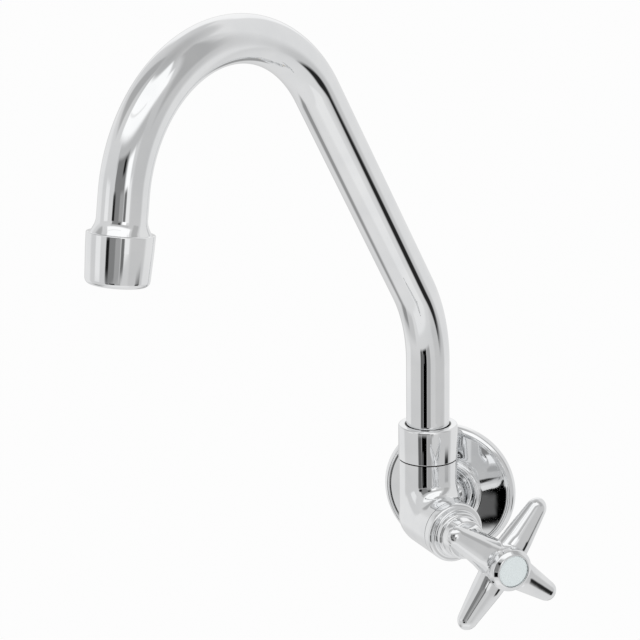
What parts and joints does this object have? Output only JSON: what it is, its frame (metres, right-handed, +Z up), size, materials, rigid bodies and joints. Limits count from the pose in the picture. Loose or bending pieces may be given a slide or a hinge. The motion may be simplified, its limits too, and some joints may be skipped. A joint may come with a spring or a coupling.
{
  "type": "commercial wall faucet",
  "caption": "Chrome wall faucet: dished wall flange, cast angled body, level cross handle, and a swivelling gooseneck spout with an aerator.",
  "frame": {"origin": "centre of the wall flange's back, on the wall plane and on the axis of the inlet shank", "axes": "+Z up; +Y into the wall, along the inlet thread; -Y out into the room; +X to the right of a person who faces the wall"},
  "size_m": [0.1467, 0.2379, 0.2685],
  "materials": {
    "polished_chrome": "mirror-polished chrome plating on brass",
    "brass": "machined",
    "stainless_steel": "bright stainless",
    "black_rubber": "matt moulded",
    "gasket_fibre": "pressed fibre",
    "white_acetal": "satin moulded",
    "index_white": "gloss"
  },
  "bodies": {
    "valve": {"valve_body": "polished_chrome", "wall_flange": "polished_chrome", "valve_seat": "brass", "bonnet": "polished_chrome", "bonnet_gasket": "gasket_fibre", "thrust_ring": "white_acetal", "stem_packing": "gasket_fibre", "packing_nut": "polished_chrome", "spout_nut": "polished_chrome", "lower_slip_ring": "white_acetal", "upper_slip_ring": "white_acetal"},
    "handle": {"handle_cross": "polished_chrome", "spindle": "brass", "handle_screw": "stainless_steel", "index_ring": "polished_chrome", "index_disc": "index_white"},
    "plunger": {"plunger": "brass", "seat_washer": "black_rubber", "washer_screw": "brass"},
    "spout": {"spout_tube": "polished_chrome", "spout_ferrule": "brass", "spout_rings": "black_rubber", "outlet_ferrule": "polished_chrome", "aerator_shell": "polished_chrome", "aerator_washer": "black_rubber", "aerator_core": "white_acetal", "aerator_screens": "stainless_steel"}
  },
  "joints": [
    {"name": "spout_swivel", "type": "hinge", "parent": "valve", "child": "spout", "pos_m": [0, -0.038, 0.03], "axis": [0, 0, 1], "range_deg": [-68, 112]},
    {"name": "handle_turn", "type": "hinge", "parent": "valve", "child": "handle", "pos_m": [0.03536, -0.07336, 0], "axis": [0.7071, -0.7071, 0], "range_deg": [0, 810]},
    {"name": "plunger_lift", "type": "slide", "parent": "valve", "child": "plunger", "axis": [0.7071, -0.7071, 0], "range_m": [0, 0.00394]}
  ],
  "couplings": [
    {"joint": "plunger_lift", "follows": "handle_turn", "m_per_rad": 0.00027852}
  ]
}
